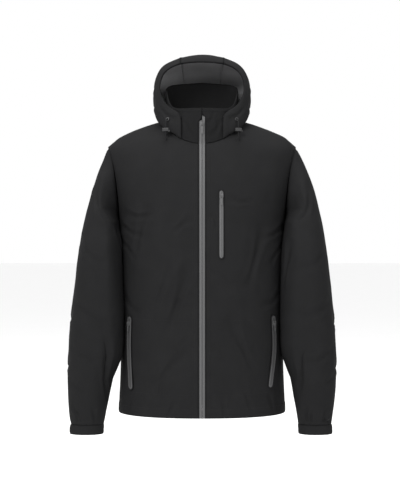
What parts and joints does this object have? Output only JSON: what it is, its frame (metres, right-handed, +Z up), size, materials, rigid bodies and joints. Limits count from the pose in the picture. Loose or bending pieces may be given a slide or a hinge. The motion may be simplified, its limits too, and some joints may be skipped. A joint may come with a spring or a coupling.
{
  "type": "softshell jacket",
  "caption": "Men's zipped softshell jacket with a raised three-panel hood, hollow as if worn, with zipped pockets",
  "frame": {"origin": "midway between the two high points of the shoulders, where the wearer holds it up", "axes": "+Z up, -Y towards the front, +X towards the wearer's left"},
  "size_m": [0.665, 0.285, 0.937],
  "materials": {
    "shell": "matt bonded softshell",
    "fleece": "short dark fleece",
    "hood_lining": "fine knit lining",
    "zip_tape": "woven zip tape",
    "zip_metal": "satin grey",
    "lock_plastic": "satin black",
    "cord": "braided elastic"
  },
  "bodies": {
    "jacket": {"front_left": "shell", "front_right": "shell", "back": "shell", "sleeve_left": "shell", "sleeve_right": "shell", "cuff_left": "shell", "cuff_right": "shell", "collar": "shell", "hood_side_left": "shell", "hood_side_right": "shell", "hood_centre": "shell", "hood_facing": "shell", "collar_lining": "fleece", "hood_lining_left": "hood_lining", "hood_lining_right": "hood_lining", "hood_lining_centre": "hood_lining", "zip_tape_left": "zip_tape", "zip_tape_right": "zip_tape", "zip_coil": "zip_tape", "chest_zip": "zip_tape", "pocket_zip_left": "zip_tape", "pocket_zip_right": "zip_tape", "zip_slider": "zip_metal", "chest_slider": "zip_metal", "pocket_slider_left": "zip_metal", "pocket_slider_right": "zip_metal", "cord_lock_left": "lock_plastic", "cord_lock_right": "lock_plastic", "eyelet_left": "lock_plastic", "eyelet_right": "lock_plastic", "hood_cord_left": "cord", "cord_knot_left": "cord", "hood_cord_right": "cord", "cord_knot_right": "cord"},
    "zip_pull_tab": {"zip_pull": "zip_metal"},
    "chest_pull_tab": {"chest_pull": "zip_metal"},
    "pocket_pull_left_tab": {"pocket_pull_left": "zip_metal"},
    "pocket_pull_right_tab": {"pocket_pull_right": "zip_metal"}
  },
  "joints": [
    {"name": "zip_pull_hinge", "type": "hinge", "parent": "jacket", "child": "zip_pull_tab", "pos_m": [0, -0.09196, -0.019], "axis": [-1, 0, 0], "range_deg": [0, 150]},
    {"name": "chest_pull_hinge", "type": "hinge", "parent": "jacket", "child": "chest_pull_tab", "pos_m": [0.04648, -0.12915, -0.195], "axis": [-0.9973, -0.074, 0], "range_deg": [0, 150]},
    {"name": "pocket_pull_left_hinge", "type": "hinge", "parent": "jacket", "child": "pocket_pull_left_tab", "pos_m": [0.17857, -0.07737, -0.503], "axis": [-0.6238, -0.7816, 0], "range_deg": [0, 150]},
    {"name": "pocket_pull_right_hinge", "type": "hinge", "parent": "jacket", "child": "pocket_pull_right_tab", "pos_m": [-0.18134, -0.07351, -0.505], "axis": [-0.5853, 0.8108, 0], "range_deg": [0, 150]}
  ]
}
